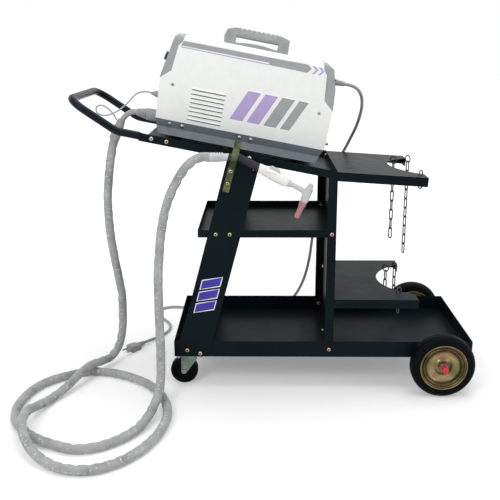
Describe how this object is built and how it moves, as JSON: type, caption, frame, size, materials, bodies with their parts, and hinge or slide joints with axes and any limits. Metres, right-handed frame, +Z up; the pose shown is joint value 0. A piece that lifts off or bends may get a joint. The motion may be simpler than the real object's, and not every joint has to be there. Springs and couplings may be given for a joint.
{
  "type": "mig welder on cart",
  "caption": "Wheeled steel workshop cart with a tilted top tray carrying an inverter welder, its hanging torch, jacketed lead and power cord.",
  "frame": {"origin": "floor level, below the middle of the cart's length from handle to large wheels, on its centre plane; the free cords don't count", "axes": "+X from the casters and push handle towards the large wheels, +Y across the cart towards its far side, +Z up"},
  "size_m": [1.0723, 0.9601, 0.8463],
  "materials": {
    "powder_coat": "semi-gloss powder coat",
    "zinc": "zinc plated",
    "olive_zinc": "olive passivated",
    "yellow_zinc": "yellow passivated",
    "tyre": "matt",
    "red_cap": "satin",
    "case_paint": "satin",
    "case_plastic": "fine texture",
    "base_paint": "satin",
    "rubber": "matt",
    "panel": "satin",
    "display": "polished",
    "button_red": "satin",
    "dark_plastic": "satin",
    "torch_grey": "satin",
    "ceramic": "fired ceramic",
    "brass": "turned",
    "board": "lacquered",
    "aluminium": "extruded",
    "jacket": "worn suede",
    "cord_sheath": "matt"
  },
  "bodies": {
    "cart": {"bottom_tray": "powder_coat", "middle_shelf": "powder_coat", "welder_tray": "powder_coat", "near_leg": "powder_coat", "far_leg": "powder_coat", "rear_panel": "powder_coat", "upper_gas_shelf": "powder_coat", "lower_gas_shelf": "powder_coat", "push_handle": "powder_coat", "cable_hooks": "olive_zinc", "frame_bolts": "zinc", "frame_nuts": "zinc", "upper_chain": "zinc", "lower_chain": "zinc", "axle": "zinc", "axle_brackets": "powder_coat", "axle_washers": "zinc", "axle_caps": "red_cap", "near_caster_plate": "zinc", "far_caster_plate": "zinc", "case_cover": "case_paint", "case_base": "base_paint", "case_feet": "rubber", "case_screws": "zinc", "front_bezel": "case_plastic", "rear_bezel": "case_plastic", "carry_handle": "case_plastic", "control_panel": "panel", "display_window": "display", "front_sockets": "dark_plastic", "gas_fittings": "brass", "fan_frame": "dark_plastic", "fan_guard": "zinc", "power_board": "board", "heat_sink": "aluminium", "cord_gland": "rubber", "torch_handle": "dark_plastic", "torch_head": "torch_grey", "ceramic_cup": "ceramic", "torch_cap": "rubber", "lead_plug": "rubber", "torch_lead": "jacket", "trigger_wire": "rubber", "power_cord": "cord_sheath", "power_plug": "rubber"},
    "near_wheel": {"near_tyre": "tyre", "near_rim": "yellow_zinc"},
    "far_wheel": {"far_tyre": "tyre", "far_rim": "yellow_zinc"},
    "near_swivel": {"near_caster_fork": "yellow_zinc", "near_caster_axle": "zinc"},
    "near_roller": {"near_caster_wheel": "tyre"},
    "far_swivel": {"far_caster_fork": "yellow_zinc", "far_caster_axle": "zinc"},
    "far_roller": {"far_caster_wheel": "tyre"},
    "knob": {"current_knob": "panel"},
    "button": {"mode_button": "button_red"},
    "switch": {"power_switch": "panel"},
    "fan": {"fan_rotor": "dark_plastic"},
    "trigger": {"torch_trigger": "torch_grey"}
  },
  "joints": [
    {"name": "near_wheel_spin", "type": "hinge", "parent": "cart", "child": "near_wheel", "pos_m": [0.395, -0.197, 0.076], "axis": [0, 1, 0], "continuous": true},
    {"name": "far_wheel_spin", "type": "hinge", "parent": "cart", "child": "far_wheel", "pos_m": [0.395, 0.197, 0.076], "axis": [0, 1, 0], "continuous": true},
    {"name": "near_caster_swivel", "type": "hinge", "parent": "cart", "child": "near_swivel", "pos_m": [-0.208, -0.1295, 0.079], "axis": [0, 0, 1], "continuous": true},
    {"name": "near_caster_roll", "type": "hinge", "parent": "near_swivel", "child": "near_roller", "pos_m": [-0.223, -0.1295, 0.0335], "axis": [0, 1, 0], "continuous": true},
    {"name": "far_caster_swivel", "type": "hinge", "parent": "cart", "child": "far_swivel", "pos_m": [-0.208, 0.1295, 0.079], "axis": [0, 0, 1], "continuous": true},
    {"name": "far_caster_roll", "type": "hinge", "parent": "far_swivel", "child": "far_roller", "pos_m": [-0.223, 0.1295, 0.0335], "axis": [0, 1, 0], "continuous": true},
    {"name": "current_knob_turn", "type": "hinge", "parent": "cart", "child": "knob", "pos_m": [-0.25323, 0.034, 0.77742], "axis": [-0.9225, 0, 0.3859], "range_deg": [-140, 140]},
    {"name": "mode_button_press", "type": "slide", "parent": "cart", "child": "button", "axis": [0.9225, 0, -0.3859], "range_m": [0, 0.0025], "stiffness_N_per_m": 400},
    {"name": "power_switch_rock", "type": "hinge", "parent": "cart", "child": "switch", "pos_m": [0.12694, -0.042, 0.72158], "axis": [0, 1, 0], "range_deg": [-20, 0]},
    {"name": "fan_spin", "type": "hinge", "parent": "cart", "child": "fan", "pos_m": [0.10287, 0.022, 0.59892], "axis": [0.9813, 0, -0.1925], "continuous": true},
    {"name": "trigger_press", "type": "slide", "parent": "cart", "child": "trigger", "axis": [-0.456, 0.0319, -0.8894], "range_m": [0, 0.002], "stiffness_N_per_m": 500}
  ]
}
